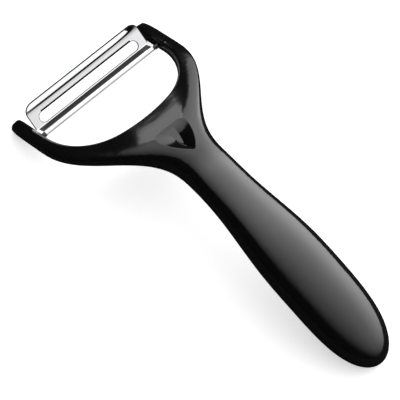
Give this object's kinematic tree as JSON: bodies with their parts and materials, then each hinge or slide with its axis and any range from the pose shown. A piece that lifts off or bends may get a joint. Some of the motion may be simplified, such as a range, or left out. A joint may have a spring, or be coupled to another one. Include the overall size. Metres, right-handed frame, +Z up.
{
  "type": "vegetable peeler",
  "caption": "Y-shaped hand peeler: glossy rounded handle with a forked yoke and thumb dimple, holding a slotted steel blade that swivels on pivot pins between the prongs.",
  "frame": {"origin": "on the table, under the middle of the part's bounding box, as it lies on its prong tips and its grip end", "axes": "+X along the blade's pivot axis to the right of the grip's view, +Y from the grip to the prong tips, +Z up, away from the table"},
  "size_m": [0.0636, 0.1519, 0.0293],
  "materials": {
    "handle_plastic": "glossy moulded black plastic",
    "blade_steel": "polished stainless steel",
    "pin_steel": "blackened turned steel"
  },
  "bodies": {
    "handle_body": {"handle": "handle_plastic", "pivot_pin_left": "pin_steel", "pivot_pin_right": "pin_steel"},
    "blade_body": {"blade": "blade_steel"}
  },
  "joints": [
    {"name": "blade_swivel", "type": "hinge", "parent": "handle_body", "child": "blade_body", "pos_m": [0, 0.06365, 0.00674], "axis": [1, 0, 0], "range_deg": [-60, 35]}
  ]
}
